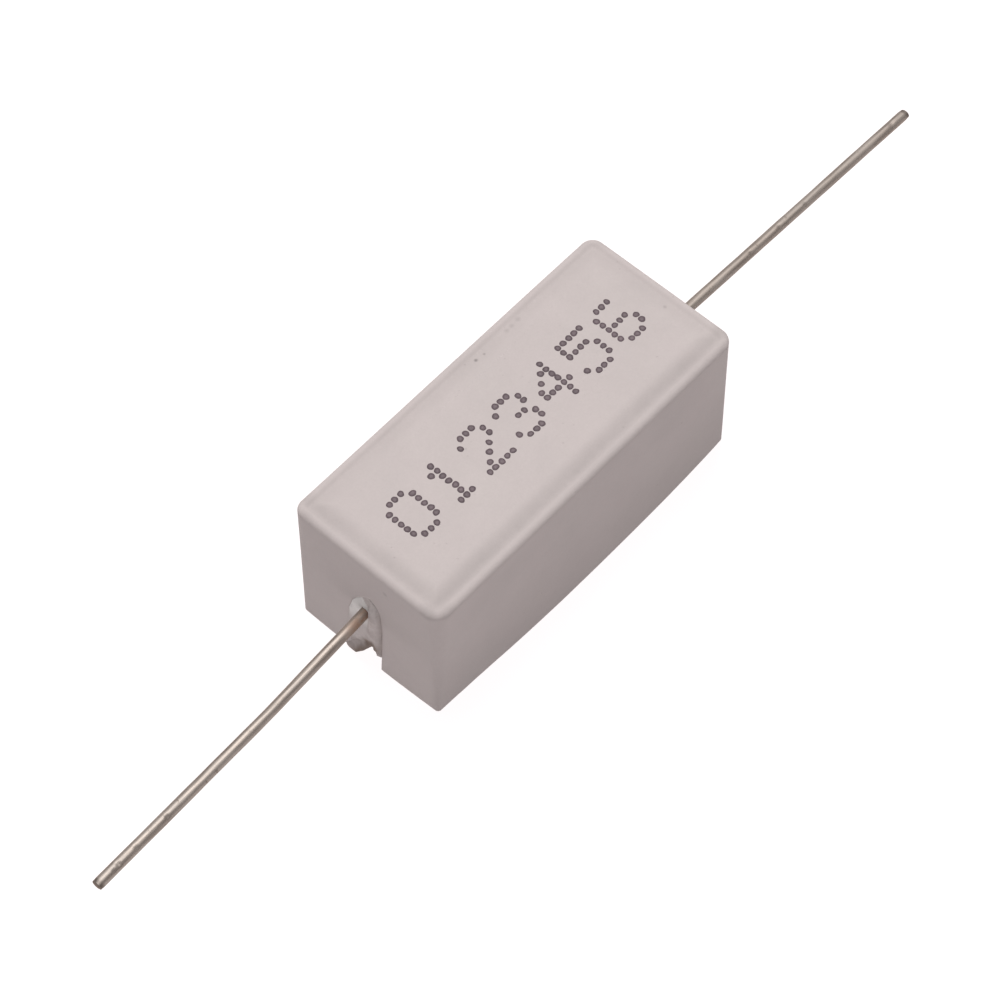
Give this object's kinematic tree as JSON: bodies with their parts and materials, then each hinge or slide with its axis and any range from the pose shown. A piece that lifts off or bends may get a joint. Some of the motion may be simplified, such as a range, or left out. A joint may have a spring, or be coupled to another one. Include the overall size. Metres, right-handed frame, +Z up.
{
  "type": "axial resistor",
  "caption": "Axial wirewound power resistor: cement-filled rectangular ceramic trough with a straight wire lead leaving a notch in each end.",
  "frame": {"origin": "centre of the ceramic body's base, on the plane that the body rests on", "axes": "+X along the body and the leads, away from the near lead; +Y across the body; +Z up out of the closed top face"},
  "size_m": [0.0611, 0.0096, 0.0097],
  "materials": {
    "case_ceramic": "unglazed fired ceramic, light warm grey, fine grain, matt",
    "cement": "cured silica cement, pale grey, slightly gritty",
    "rod_ceramic": "unglazed white ceramic rod",
    "resistance_wire": "bare drawn resistance alloy wire",
    "cap_steel": "plated pressed steel cup",
    "tinned_lead": "tinned wire, satin, lightly scratched, browned where it leaves the cement",
    "print_ink": "matt dark grey-violet dot print"
  },
  "bodies": {
    "root": {"ceramic_case": "case_ceramic", "cement_fill": "cement", "core_rod": "rod_ceramic", "resistance_winding": "resistance_wire", "end_cap_near": "cap_steel", "end_cap_far": "cap_steel", "lead_near": "tinned_lead", "lead_far": "tinned_lead"}
  },
  "joints": []
}
